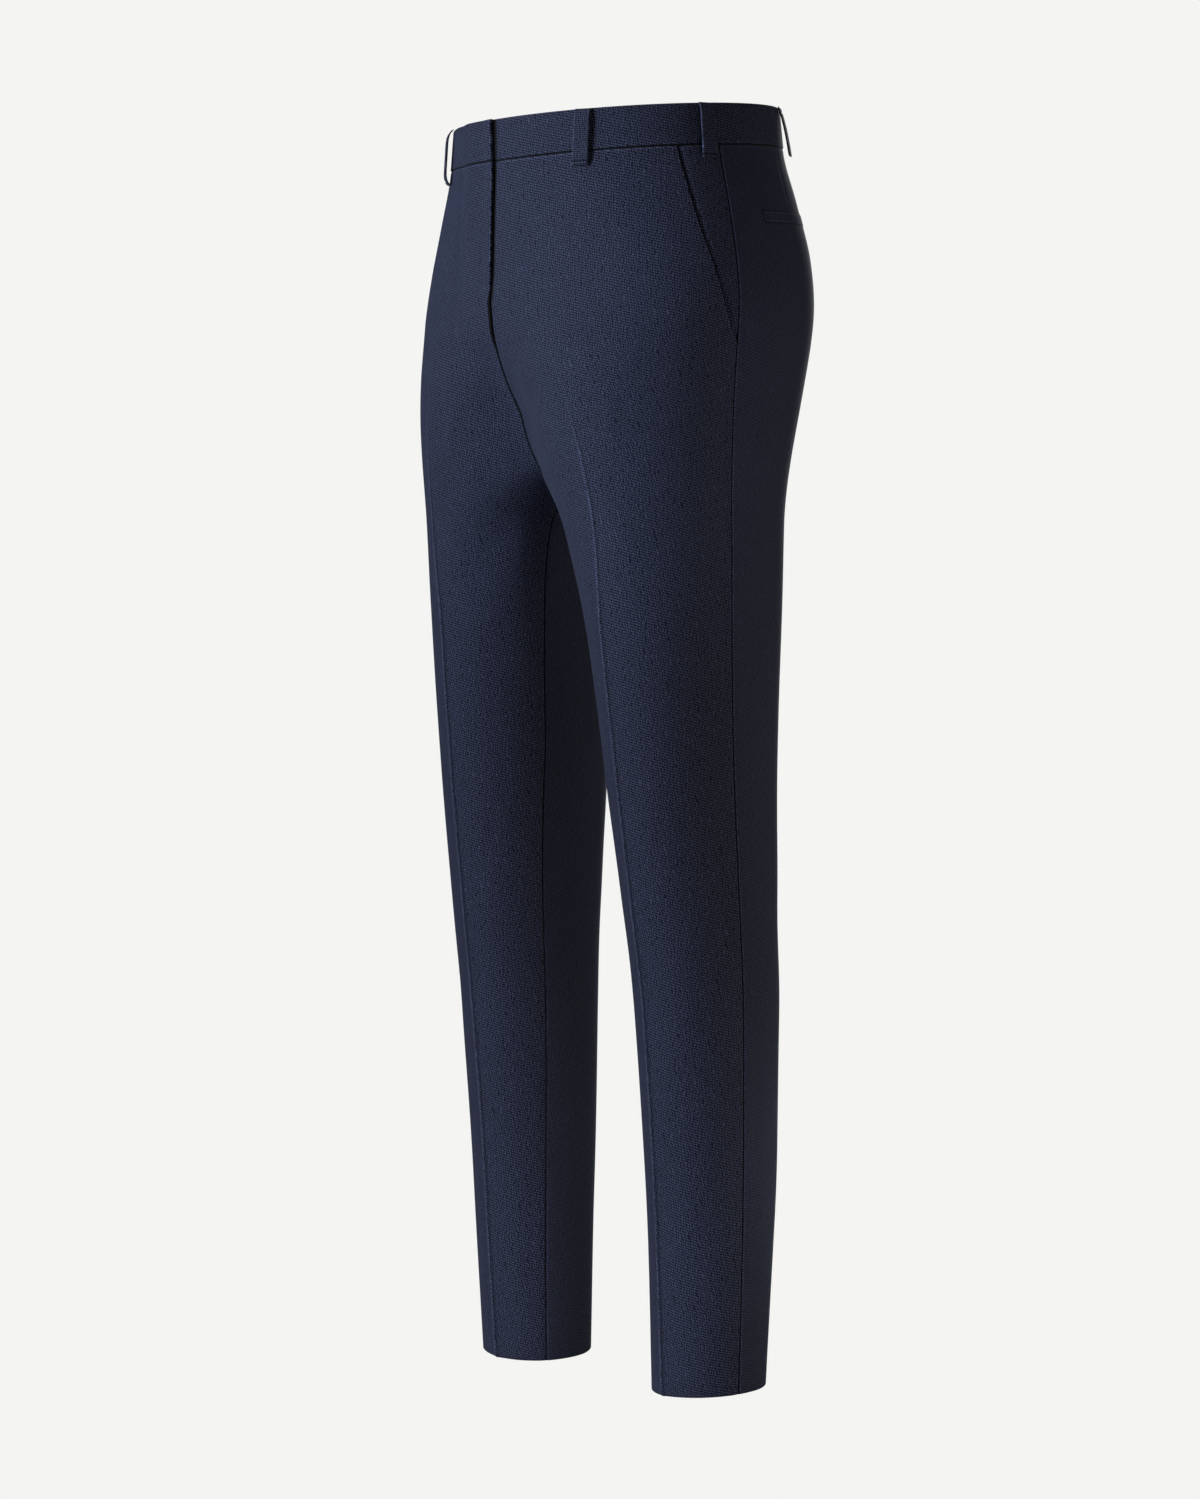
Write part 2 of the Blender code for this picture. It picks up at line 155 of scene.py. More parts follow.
rightFolds = rowsOf(
    foldNames,
    (-0.328, 134.0, 20.0, 0.058, -0.0027, 520.0),
    (-0.212, 146.0, 10.0, 0.024, 0.0010, -640.0),
    (-0.258, 122.0, 9.0, 0.030, -0.0009, -560.0),
    (-0.300, 96.0, 10.0, 0.050, 0.0006, -120.0),
    (-0.420, 70.0, 12.0, 0.070, -0.0006, 40.0),
    (-0.640, 118.0, 12.0, 0.050, 0.0007, 200.0),
    (-0.715, 66.0, 13.0, 0.045, -0.0006, -160.0),
    (-0.870, 112.0, 14.0, 0.070, 0.0005, 40.0),
    (-0.230, -104.0, 12.0, 0.036, 0.0008, 360.0),
    (-0.330, -74.0, 14.0, 0.060, -0.0008, -240.0),
    (-0.620, -112.0, 14.0, 0.045, 0.0010, 200.0),
    (-0.675, -66.0, 13.0, 0.040, -0.0008, -220.0),
    (-0.900, -100.0, 14.0, 0.060, -0.0006, 40.0),
)


def ease(share):
    share = np.clip(share, 0.0, 1.0)
    return share * share * (3.0 - 2.0 * share)


def mix(start, end, share):
    return start + (end - start) * share


def readAt(rows, name, level):
    # one column at any level, through its rows without overshoot
    known, value = rows["level"], rows[name]
    gap = np.diff(known)
    rate = np.diff(value) / gap
    before, after = rate[:-1], rate[1:]
    turning = before * after <= 0.0
    total = np.where(turning, 1.0, before + after)
    slope = np.concatenate(([rate[0]], np.where(turning, 0.0, 2.0 * before * after / total), [rate[-1]]))
    level = np.clip(level, known[0], known[-1])
    row = np.clip(np.searchsorted(known, level, side="right") - 1, 0, len(gap) - 1)
    share = (level - known[row]) / gap[row]
    rest = 1.0 - share
    values = mix(value[row], value[row + 1], ease(share))
    return values + gap[row] * share * rest * (slope[row] * rest - slope[row + 1] * share)


def hipReach(out, front, centreX, centreY, level):
    halfWidth, power = readAt(hips, "halfWidth", level), readAt(hips, "squareness", level)
    ahead, behind = readAt(hips, "front", level), readAt(hips, "back", level)
    near, far = np.zeros_like(out), np.full_like(out, search["farthest"])
    for _ in range(search["hipHalvings"]):
        middle = (near + far) / 2.0
        x, y = centreX + middle * out, centreY - middle * front
        deep = np.where(y < 0.0, ahead, behind)
        inside = np.abs(x / halfWidth) ** power + np.abs(y / deep) ** power < 1.0
        near, far = np.where(inside, middle, near), np.where(inside, far, middle)
    return near


def legReach(out, front, level):
    width = np.where(out > 0.0, readAt(legs, "halfOut", level), readAt(legs, "halfIn", level))
    depth, power = readAt(legs, "depth", level), shape["legSquareness"]
    return (np.abs(out / width) ** power + np.abs(front / depth) ** power) ** (-1.0 / power)


def formAt(angle, level):
    # a point of the smooth left half
    angle, level = np.broadcast_arrays(np.asarray(angle, float), np.asarray(level, float))
    out, front = np.cos(np.radians(angle)), np.sin(np.radians(angle))
    centreX, centreY = readAt(legs, "centreX", level), readAt(legs, "centreY", level)
    apart = ease((shape["splitTop"] - level) / (shape["splitTop"] - shape["splitLow"]))
    reach = mix(hipReach(out, front, centreX, centreY, level), legReach(out, front, level), apart)
    inward = np.clip(-out, 0.0, 1.0) ** 2
    x = centreX + reach * out
    y = centreY - reach * front - readAt(legs, "lean", level) * inward
    sunk = np.exp(-(x / shape["hollowWidth"]) ** 2) * np.clip(front, 0.0, 1.0)
    y = y + readAt(riseHollow, "depth", level) * sunk
    tilt = shape["waistTilt"] * y * ease((level - shape["tiltLow"]) / shape["tiltFade"])
    tipped = shape["hemForward"] * front - shape["hemInward"] * out
    drop = tipped * ease((shape["dropTop"] - level) / shape["dropFade"])
    return np.stack((x, y, level + tilt - drop), axis=-1)


def acrossAt(angle, level):
    # about a degree of the level section, as a step along it
    return formAt(angle + search["turnStep"], level) - formAt(angle - search["turnStep"], level)


def outwardAt(angle, level):
    up = formAt(angle, level + search["levelStep"]) - formAt(angle, level - search["levelStep"])
    normal = np.cross(up, acrossAt(angle, level))
    return normal / np.linalg.norm(normal, axis=-1, keepdims=True)


def creaseShare(level):
    # the crease comes up out of the hips and is fully pressed from the thigh down
    return ease((shape["creaseTop"] - level) / shape["creaseFade"])


def pressedCrease(angle, level):
    crease = readAt(legs, "crease", level)
    ahead = np.exp(-np.abs(angle - crease) / shape["creaseSpread"])
    behind = np.exp(-np.abs(angle - crease + 180.0) / shape["creaseSpread"])
    return shape["creaseRise"] * (ahead + behind) * creaseShare(level)


def foldHeight(rows, angle, level):
    total = np.zeros(np.broadcast(angle, level).shape)
    for row in range(len(rows["level"])):
        up = level - rows["level"][row]
        across = angle - rows["angle"][row] - rows["slope"][row] * up
        away = (across / rows["wide"][row]) ** 2 + (up / rows["tall"][row]) ** 2
        total += rows["rise"][row] * np.exp(-away)
    return total


def asideOf(angle, level, distance):
    # an angle moved on by a distance along the level section
    pace = np.linalg.norm(acrossAt(angle, level), axis=-1)
    return angle + distance / pace


def angleAt(level, start, end, offset):
    # the angle between start and end where the form crosses a plane beside the middle
    near, far = np.full_like(level, start), np.full_like(level, end)
    for _ in range(search["planeHalvings"]):
        middle = (near + far) / 2.0
        beyond = formAt(middle, level)[..., 0] > offset
        near, far = np.where(beyond, middle, near), np.where(beyond, far, middle)
    return (near + far) / 2.0


def findFork():
    # where the rise seam ends at the crotch and the inseams begin
    high, low = np.array(search["forkHigh"]), np.array(search["forkLow"])
    for _ in range(search["forkHalvings"]):
        middle = (high + low) / 2.0
        joined = formAt(readAt(legs, "inseam", middle), middle)[0] < cut["meet"]
        high, low = (middle, low) if joined else (high, middle)
    return float(low)


forkLevel = findFork()
panelTop = cut["waistSeam"] - cut["meet"]
panelLift = cut["panelWall"] + cut["seam"] + cut["chord"]
bandLift = cut["bandWall"] + cut["seam"] + cut["chord"]
print(f"form ready, crotch at {forkLevel:.4f}")


def underlap(level):
    # how far the left front reaches under the right one
    return cut["lapWidth"] * ease((level - cut["flyLow"]) / cut["flyCurve"])


def lapHeight(x, level, lift):
    # the right side lifts over what lies beneath it
    beside = ease((cut["lapWidth"] + cut["lapMargin"] + cut["lapEase"] - x) / cut["lapEase"])
    return lift * beside * ease((level - cut["lapLow"] + cut["lapEase"]) / cut["lapEase"])


# one cloth in three materials, which read its own maps: metres along the grain, and metres from an edge;
# the backs' copy carries painted shade and the loops' copy brighter painted highlights
suiting = {
    "darkYarn": (0.0034, 0.0044, 0.0120), "yarn": (0.0130, 0.0168, 0.0400),
    "lightYarn": (0.0370, 0.0470, 0.0960),
    "crepeAcross": 0.0025, "crepeAlong": 0.0038, "crepeTurn": -42.0, "crepeStray": 4.2,
    "fleck": 0.0013, "fleckShare": 1.7, "grainRange": (-0.40, 0.40),
    "shadeAcross": 0.07, "shadeAlong": 0.11, "shadeSpan": 0.22, "shadeLow": 0.89,
    "bump": 0.5, "bumpHeight": 0.00003,
    "roughness": 0.82, "specular": 0.14,
    "sheen": 0.10, "sheenRoughness": 0.45, "sheenTint": (0.55, 0.62, 0.90),
    # how dark each painted seam shadow and crease shade is, how light each painted highlight is, and where
    # each fades in and out in metres
    "seamDark": 0.06, "seamFade": (0.0004, 0.0011),
    "edgeLight": 0.90, "edgeStart": (0.0006, 0.0012), "edgeEnd": (0.0014, 0.0024),
    "creaseLight": 0.85, "crestStart": (-0.0010, 0.0000), "crestEnd": (0.0012, 0.0024),
    "creaseDark": 0.45, "hollowStart": (-0.0036, -0.0020), "hollowEnd": (-0.0014, -0.0006),
    "creaseLevels": (-0.30, -0.20),
}


def clothMaterial(name, tone):
    material = bpy.data.materials.new(name)
    material.use_nodes = True
    nodes, links = material.node_tree.nodes, material.node_tree.links
    shader = nodes["Principled BSDF"]
    shader.inputs["Roughness"].default_value = tone["roughness"]
    shader.inputs["Specular IOR Level"].default_value = tone["specular"]
    shader.inputs["Sheen Weight"].default_value = tone["sheen"]
    shader.inputs["Sheen Roughness"].default_value = tone["sheenRoughness"]
    shader.inputs["Sheen Tint"].default_value = (*tone["sheenTint"], 1.0)

    def node(kind, **values):
        made = nodes.new(kind)
        for key, value in values.items():
            if key in made.inputs:
                made.inputs[key].default_value = value
            else:
                setattr(made, key, value)
        return made

    def laid(size, turn=0.0):
        # the cloth's own map, turned and then measured in grains of this size
        mapping = node("ShaderNodeMapping", vector_type="TEXTURE")
        mapping.inputs["Scale"].default_value = size
        mapping.inputs["Rotation"].default_value = (0.0, 0.0, math.radians(turn))
        links.new(grain.outputs["UV"], mapping.inputs["Vector"])
        return mapping.outputs["Vector"]

    def maths(operation, *values):
        made = node("ShaderNodeMath", operation=operation)
        for socket, value in zip(made.inputs, values):
            if isinstance(value, (int, float)):
                socket.default_value = value
            else:
                links.new(value, socket)
        return made.outputs["Value"]

    def ranged(value, start, end, low=0.0, high=1.0):
        made = node("ShaderNodeMapRange", interpolation_type="SMOOTHSTEP")
        for socket, number in zip(list(made.inputs)[1:5], (start, end, low, high)):
            socket.default_value = number
        links.new(value, made.inputs["Value"])
        return made.outputs["Result"]

    def between(value, start, end):
        return maths("MULTIPLY", ranged(value, *start), ranged(value, *end, 1.0, 0.0))

    grain, edge = node("ShaderNodeUVMap", uv_map="grain"), node("ShaderNodeUVMap", uv_map="edge")
    # spots of yarn between two slanting sets of threads, each straying a little
    threads = []
    for direction in ("X", "Y"):
        thread = node("ShaderNodeTexWave", wave_type="BANDS", bands_direction=direction, Detail=1.0,
                      Scale=math.pi / 10.0, Distortion=tone["crepeStray"])  # one band to each grain
        thread.inputs["Detail Scale"].default_value = 2.0
        crepe = laid((tone["crepeAcross"], tone["crepeAlong"], 1.0), tone["crepeTurn"])
        links.new(crepe, thread.inputs["Vector"])
        threads.append(maths("MULTIPLY_ADD", thread.outputs["Fac"], 2.0, -1.0))
    fleck = node("ShaderNodeTexNoise", Scale=1.0, Detail=1.0, Roughness=0.5)
    links.new(laid((tone["fleck"], tone["fleck"], 1.0)), fleck.inputs["Vector"])
    shade = node("ShaderNodeTexNoise", Scale=1.0, Detail=2.0, Roughness=0.5)
    links.new(laid((tone["shadeAcross"], tone["shadeAlong"], 1.0)), shade.inputs["Vector"])

    mixed = maths("ADD", maths("MULTIPLY", *threads),
                  maths("MULTIPLY", maths("SUBTRACT", fleck.outputs["Fac"], 0.5), tone["fleckShare"]))
    weave = ranged(mixed, *tone["grainRange"])
    ramp = node("ShaderNodeValToRGB")
    ramp.color_ramp.elements[0].position, ramp.color_ramp.elements[1].position = 0.0, 1.0
    ramp.color_ramp.elements[0].color = (*tone["darkYarn"], 1.0)
    ramp.color_ramp.elements[1].color = (*tone["lightYarn"], 1.0)
    ramp.color_ramp.elements.new(0.50).color = (*tone["yarn"], 1.0)
    links.new(weave, ramp.inputs["Fac"])

    # painted shadow along the seams, and a painted highlight on the fold beside them
    apart, across = node("ShaderNodeSeparateXYZ"), node("ShaderNodeSeparateXYZ")
    links.new(edge.outputs["UV"], apart.inputs["Vector"])
    links.new(grain.outputs["UV"], across.inputs["Vector"])
    distance, edgeHighlight = maths("ABSOLUTE", apart.outputs["X"]), apart.outputs["Y"]
    dark = ranged(distance, *tone["seamFade"], tone["seamDark"], 1.0)
    line = between(distance, tone["edgeStart"], tone["edgeEnd"])
    light = maths("MULTIPLY_ADD", maths("MULTIPLY", line, edgeHighlight), tone["edgeLight"], 1.0)
    # the pressed crease: a painted highlight along it and painted shade beside it, up to the hips
    beside, upTo = across.outputs["X"], ranged(across.outputs["Y"], *tone["creaseLevels"], 1.0, 0.0)
    crest = between(beside, tone["crestStart"], tone["crestEnd"])
    hollow = between(beside, tone["hollowStart"], tone["hollowEnd"])
    creaseHighlightAndShade = maths("SUBTRACT", maths("MULTIPLY", crest, tone["creaseLight"]),
                    maths("MULTIPLY", hollow, tone["creaseDark"]))
    creaseLighting = maths("MULTIPLY_ADD", creaseHighlightAndShade, upTo, 1.0)
    level = maths("MULTIPLY_ADD", shade.outputs["Fac"], tone["shadeSpan"], tone["shadeLow"])
    toneWithPaintedLight = node("ShaderNodeHueSaturation")
    seamShadowAndHighlight = maths("MULTIPLY", dark, light)
    links.new(maths("MULTIPLY", seamShadowAndHighlight, maths("MULTIPLY", creaseLighting, level)), toneWithPaintedLight.inputs["Value"])
    links.new(ramp.outputs["Color"], toneWithPaintedLight.inputs["Color"])
    links.new(toneWithPaintedLight.outputs["Color"], shader.inputs["Base Color"])

    bump = node("ShaderNodeBump", Strength=tone["bump"], Distance=tone["bumpHeight"])
    links.new(weave, bump.inputs["Height"])
    links.new(bump.outputs["Normal"], shader.inputs["Normal"])
    return material


shadedGrain = {  # a copy for the backs and welts, which hang in softer light: painted shade makes its grain quieter
    "darkYarn": (0.0100, 0.0128, 0.0295), "yarn": (0.0148, 0.0190, 0.0435),
    "lightYarn": (0.0268, 0.0341, 0.0715),
}
loopGrainAndHighlight = {"crepeAlong": 0.0022, "edgeLight": 1.1}  # the loops show a shorter grain, and brighter painted highlights on their folds
navySuiting = clothMaterial("navySuiting", suiting)
navyShadedBacks = clothMaterial("navyShadedBacks", dict(suiting, **shadedGrain))
navyLoops = clothMaterial("navyLoops", dict(suiting, **loopGrainAndHighlight))
print("finishes ready")


sharpFrom = 50.0  # degrees: an edge that turns more shades as a sharp one


# a wall of cloth: an outer face, an inner face and the rim between them, in place of its node's own mesh
def layCloth(node, outer, inner, grainAt, edgeAt, material, side):
    rows, columns = outer.shape[:2]
    mesh = bmesh.new()
    bmesh.ops.create_grid(mesh, x_segments=columns - 1, y_segments=rows - 1, size=0.5)
    spot = mesh.verts.layers.int.new("spot")
    chart, rub = mesh.loops.layers.uv.new("grain"), mesh.loops.layers.uv.new("edge")
    turned = np.array((side, 1.0, 1.0))
    mesh.verts.ensure_lookup_table()
    for vert in mesh.verts:
        column = round((vert.co.x + 0.5) * (columns - 1))
        row = round((vert.co.y + 0.5) * (rows - 1))
        vert[spot] = row * columns + column
    flatOuter = outer.reshape(-1, 3) * turned
    flatInner = inner.reshape(-1, 3) * turned
    flatGrain, flatEdge = grainAt.reshape(-1, 2) * (side, 1.0), edgeAt.reshape(-1, 2)
    for vert in mesh.verts:
        vert.co = flatOuter[vert[spot]]
    made = bmesh.ops.extrude_face_region(mesh, geom=mesh.faces[:], use_keep_orig=True)
    for vert in made["geom"]:
        if isinstance(vert, bmesh.types.BMVert):
            vert.co = flatInner[vert[spot]]
    bmesh.ops.recalc_face_normals(mesh, faces=mesh.faces[:])
    for face in mesh.faces:
        for corner in face.loops:
            corner[chart].uv = flatGrain[corner.vert[spot]]
            corner[rub].uv = flatEdge[corner.vert[spot]]
    mesh.verts.layers.int.remove(spot)
    data = bpy.data.meshes.new(f"{node}_cloth")
    mesh.to_mesh(data)
    mesh.free()
    data.shade_smooth()
    data.set_sharp_from_angle(angle=math.radians(sharpFrom))
    data.materials.append(material)
    piece = bpy.data.objects.new(f"{node}_cloth", data)
    bpy.context.scene.collection.objects.link(piece)
    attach(piece, "root")
    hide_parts(node)
    return piece


def declareSheet(piece, wide, tall, area, held="hung", restsOn=()):
    # the cut of what shows, and for comparison half the surface of its wall
    seen = sum(face.area for face in piece.data.polygons) / 2.0
    print(f"{piece.name}: flat {wide:.3f} x {tall:.3f}, {area:.4f} m2 cut, {seen:.4f} m2 shown, "
          f"{len(piece.data.polygons) * 2} triangles")


nearEdge = np.array((0.0, 0.0003, 0.0007, 0.0012, 0.0018, 0.0028, 0.0044))  # fine steps in from an edge
nearLine = np.array((0.0, 0.0006, 0.0014, 0.0028, 0.0046))  # and out from a crease or dart
farOff = 0.02  # where a line is too far off to show
bandOn = {1.0: "waistband_left", -1.0: "waistband_right"}  # the half that each side's pieces hang on


def stepsBetween(length, first, last, count):
    # distances along each row: fine at both ends, even between
    start = np.repeat(first[None, :-1], len(length), axis=0)
    end = length[:, None] - last[None, :-1][:, ::-1]
    middle = mix(first[-1], (length - last[-1])[:, None], np.linspace(0.0, 1.0, count)[None, :])
    return np.concatenate((start, middle, end), axis=1)


def runOf(path):
    # the distance along each row of points
    step = np.linalg.norm(np.diff(path, axis=-2), axis=-1)
    return np.concatenate((np.zeros_like(step[..., :1]), np.cumsum(step, axis=-1)), axis=-1)


def readRows(place, run, values):
    # the values at given distances along each row
    return np.array([np.interp(*row) for row in zip(place, run, values)])


def rolled(distance, deep, reach):
    # an edge that turns down
    return deep * (1.0 - np.clip(distance / reach, 0.0, 1.0)) ** 2


def nearestEdge(*edges):
    # pairs of a distance from a seam and how strong the painted highlight on its fold is: the nearest one
    # counts
    distances = np.stack(np.broadcast_arrays(*(pair[0] for pair in edges)))
    edgeHighlight = np.stack(np.broadcast_arrays(*(pair[1] + 0.0 * distances[0] for pair in edges)))
    nearest = np.argmin(distances, axis=0)[None]
    picked = [np.take_along_axis(values, nearest, 0)[0] for values in (distances, edgeHighlight)]
    return np.stack(picked, axis=-1)


# the four leg panels
panelCut = {
    "riseRows": 72, "legRows": 172, "stepCount": 24, "dartCount": 12,
    "riseReadings": 400, "fineSteps": 90,  # how finely the rise and the rows are walked
    # the cloth turns down into each seam, its allowance presses through and it puckers slightly
    "edgeDeep": 0.0013, "edgeReach": 0.0018, "openEdge": 0.9,
    "allowance": 0.0110, "allowanceRise": 0.00022, "allowanceFade": 0.003,
    "puckerRise": 0.00010, "puckerPitch": 0.0170, "puckerReach": 0.0080,
    "puckerStray": 9.0, "puckerRhythm": 31.0, "openPucker": 0.8,
    "creaseSharp": 0.0010, "creaseReach": 0.0018,  # a knife edge on the pressed crease
    "dartTop": -46.0, "dartTip": -37.0, "dartLow": -0.0660,  # top and tip in degrees, and the tip's level
    "dartDeep": 0.0008, "dartReach": 0.0019, "dartFade": 0.012,
    # the slanted edge stands off its facing, and so does the closing's edge
    "gapeRise": 0.0003, "gapeReach": 0.0100, "gapeLow": 0.020, "gapeTop": 0.030,
    "lapGape": 0.0012, "lapReach": 0.0120, "lapGapeFade": 0.03,
    "mouthFade": 0.004, "lapFade": 0.020,  # how soon a sewn edge lies open
}

# the painted lines on the panels: how far out each painted shadow starts, and how strong the painted
# highlight on each fold is
panelLines = {
    "sewn": 0.0001, "open": 0.0011, "dart": 0.0003, "dartEnd": 0.003,
    "forkShade": 0.65, "forkFade": 0.012,  # a deeper shade down the rise seam
    "lapShadow": 0.0002, "lapShare": 0.30, "lapEnd": 0.02,  # the lap's shadow on the front beneath
    "edgeHighlight": {"pocket": 1.1, "side": 0.1, "backSide": 1.3, "inseam": 0.2,
               "lap": 0.9, "top": 0.9, "dart": 2.2},
}


def rowShares():
    # the rows' shares of the rise and of the leg, fine at both ends
    length = panelTop - cut["sideAtFork"]
    riseTail = np.linspace(nearEdge[-1] / length, 1.0, panelCut["riseRows"])
    rise = np.concatenate((nearEdge[:-1] / length, riseTail))
    length = forkLevel - cut["hem"]
    legHead = np.linspace(0.0, 1.0 - nearEdge[-1] / length, panelCut["legRows"])[1:]
    leg = np.concatenate((legHead, 1.0 - nearEdge[:-1][::-1] / length))
    return rise, leg


def outerEdge(front):
    rise, leg = rowShares()
    down = mix(panelTop, cut["sideAtFork"], rise), mix(cut["sideAtFork"], cut["hem"], leg)
    level = np.concatenate(down)
    ahead = readAt(pocketLine, "ahead", level)
    step = ahead + cut["meet"] if front else -cut["meet"]
    return asideOf(readAt(legs, "side", level), level, step), level


def innerEdge(front, lapped):
    # down the rise seam in the middle, then down the inseam
    rise, leg = rowShares()
    turn = 1.0 if front else -1.0
    level = forkLevel + (panelTop - forkLevel) * np.linspace(1.0, 0.0, panelCut["riseReadings"]) ** 2
    offset = cut["meet"] - (underlap(level) if lapped else 0.0)
    angle = angleAt(level, 90.0 * turn, 180.0 * turn, offset)
    run = runOf(formAt(angle, level))
    legLevel = mix(forkLevel, cut["hem"], leg)
    legAngle = asideOf(readAt(legs, "inseam", legLevel), legLevel, -turn * cut["meet"])
    legAngle = legAngle - (0.0 if front else 360.0)
    riseAngle, riseLevel = np.interp(rise * run[-1], run, angle), np.interp(rise * run[-1], run, level)
    return np.concatenate((riseAngle, legAngle)), np.concatenate((riseLevel, legLevel))


def panelRows(panel):
    # walks each row finely, then sets its columns at real distances along it
    front = panel["front"]
    outAngle, outLevel = outerEdge(front)
    inAngle, inLevel = innerEdge(front, panel["lapped"])
    creaseAngle = readAt(legs, "crease", mix(outLevel, inLevel, 0.5)) - (0.0 if front else 180.0)
    if front:
        guides, shares = [outAngle, creaseAngle, inAngle], [0.0, 0.5, 1.0]
        near = [nearEdge, nearLine, nearEdge]
        counts = [panelCut["stepCount"]] * 2
    else:
        downDart = np.clip((panelTop - outLevel) / (panelTop - panelCut["dartLow"]), 0.0, 1.0)
        dart = mix(panelCut["dartTop"], panelCut["dartTip"], downDart)
        guides, shares = [outAngle, dart, creaseAngle, inAngle], [0.0, 0.25, 0.5, 1.0]
        near = [nearEdge, nearLine, nearLine, nearEdge]
        counts = [panelCut["dartCount"]] * 2 + [panelCut["stepCount"]]

    fine = panelCut["fineSteps"]
    angles, levels = [], []
    for number in range(len(guides) - 1):
        share = np.linspace(0.0, 1.0, fine + 1)[None, (0 if number == 0 else 1):]
        angles.append(mix(guides[number][:, None], guides[number + 1][:, None], share))
        along = ease(mix(shares[number], shares[number + 1], share))
        levels.append(mix(outLevel[:, None], inLevel[:, None], along))
    angles, levels = np.concatenate(angles, axis=1), np.concatenate(levels, axis=1)
    run = runOf(formAt(angles, levels))
    stops = [run[:, fine * number] for number in range(len(guides))]
    parts = []
    for number in range(len(guides) - 1):
        length = stops[number + 1] - stops[number]
        part = stepsBetween(length, near[number], near[number + 1], counts[number]) + stops[number][:, None]
        parts.append(part if number == 0 else part[:, 1:])
    place = np.concatenate(parts, axis=1)
    level = readRows(place, run, levels)
    print(f"{panel['node']}: rows {run[:, -1].min():.3f} to {run[:, -1].max():.3f} m long")
    return {
        "angle": readRows(place, run, angles), "level": level,
        "fromOut": place, "fromIn": run[:, -1:] - place,
        "fromTop": panelTop - level, "fromHem": level - cut["hem"],
        "fromCrease": place - stops[-2][:, None],
        "fromDart": None if front else np.abs(place - stops[1][:, None]),
        # where the pocket's edge and the closing's lie open rather than sewn
        "inMouth": ease((level - cut["pocketLow"]) / panelCut["mouthFade"]) if front else 0.0,
        "onLap": ease((level - cut["flyLow"]) / panelCut["lapFade"]) if panel["lapOver"] else 0.0,
    }


def panelRelief(panel, rows):
    # how far the outer face stands off the smooth form
    angle, level, fromOut, fromIn = rows["angle"], rows["level"], rows["fromOut"], rows["fromIn"]
    side, raised = panel["side"], np.zeros_like(angle)
    if panel["lapOver"]:
        raised = lapHeight(formAt(angle, level)[..., 0], level, panelLift)
        parted = ease((panelCut["lapReach"] - fromIn) / panelCut["lapReach"])
        parted = parted * ease((level - cut["flyLow"]) / panelCut["lapGapeFade"])
        raised = raised + panelCut["lapGape"] * parted
    raised = raised + pressedCrease(angle, level) + foldHeight(sharedFolds, angle, level)
    raised = raised + foldHeight(panel["folds"], angle, level)
    crest = panelCut["creaseSharp"] * creaseShare(level)
    raised = raised + crest * np.exp(-np.abs(rows["fromCrease"]) / panelCut["creaseReach"])

    # seams: turned-down edges, the allowance beneath and a slight pucker
    free = rows["inMouth"], rows["onLap"], 0.0, 0.0
    for number, distance in enumerate((fromOut, fromIn, rows["fromTop"], rows["fromHem"])):
        turned = 1.0 - panelCut["openEdge"] * free[number]
        raised = raised - rolled(distance, panelCut["edgeDeep"], panelCut["edgeReach"]) * turned
        if number < 2:  # the side seam, and the rise and inseam
            under = ease((panelCut["allowance"] - distance) / panelCut["allowanceFade"])
            raised = raised + panelCut["allowanceRise"] * under
            stray = panelCut["puckerStray"] * np.sin(level * panelCut["puckerRhythm"] + number + side)
            wave = np.sin(level / panelCut["puckerPitch"] * 2.0 * math.pi + stray)
            wave = wave * (1.0 - panelCut["openPucker"] * free[number])
            raised = raised + panelCut["puckerRise"] * wave * np.exp(-distance / panelCut["puckerReach"])
    if panel["front"]:
        mouth = ease((level - cut["pocketLow"]) / panelCut["gapeLow"])
        mouth = mouth * ease((panelTop - level) / panelCut["gapeTop"])
        gape = ease((panelCut["gapeReach"] - fromOut) / panelCut["gapeReach"])
        return raised + panelCut["gapeRise"] * mouth * gape
    fade = ease((level - panelCut["dartLow"]) / panelCut["dartFade"])
    return raised - panelCut["dartDeep"] * fade * np.exp(-(rows["fromDart"] / panelCut["dartReach"]) ** 2)


def panelEdges(panel, rows, x):
    # how near each point is to a seam, a free edge or the dart, and how strong that fold's painted
    # highlight is
    level, inMouth, onLap = rows["level"], rows["inMouth"], rows["onLap"]
    sewn, free, edgeHighlight = panelLines["sewn"], panelLines["open"], panelLines["edgeHighlight"]
    onSide = mix(edgeHighlight["side"], edgeHighlight["pocket"], inMouth) if panel["front"] else edgeHighlight["backSide"]
    onRise = mix(edgeHighlight["inseam"], edgeHighlight["lap"], onLap)
    inFork = 0.0
    if panel["lapOver"]:
        shaded = panelLines["forkShade"] * ease((level - forkLevel) / panelLines["forkFade"])
        inFork = shaded * (1.0 - onLap)
    edges = [(rows["fromOut"] + mix(sewn, free, inMouth), onSide),
             (rows["fromIn"] * (1.0 - inFork) + mix(sewn, free, onLap), onRise),
             (rows["fromTop"] - sewn, edgeHighlight["top"])]
    if panel["lapped"]:
        shadow = np.abs(x - panelLines["lapShadow"]) * panelLines["lapShare"]
        edges.append((shadow + farOff * ease((cut["flyLow"] - level) / panelLines["lapEnd"]), 0.0))
    if not panel["front"]:
        pastTip = farOff * ease((panelCut["dartLow"] - level) / panelLines["dartEnd"])
        edges.append((rows["fromDart"] + panelLines["dart"] + pastTip, edgeHighlight["dart"]))
    edgeAt = nearestEdge(*edges)
    if panel["lapped"]:
        # the shadow's line lies between two columns, so its distance changes sign there
        edgeAt[..., 0] *= np.where(x > panelLines["lapShadow"], 1.0, -1.0)
    return edgeAt


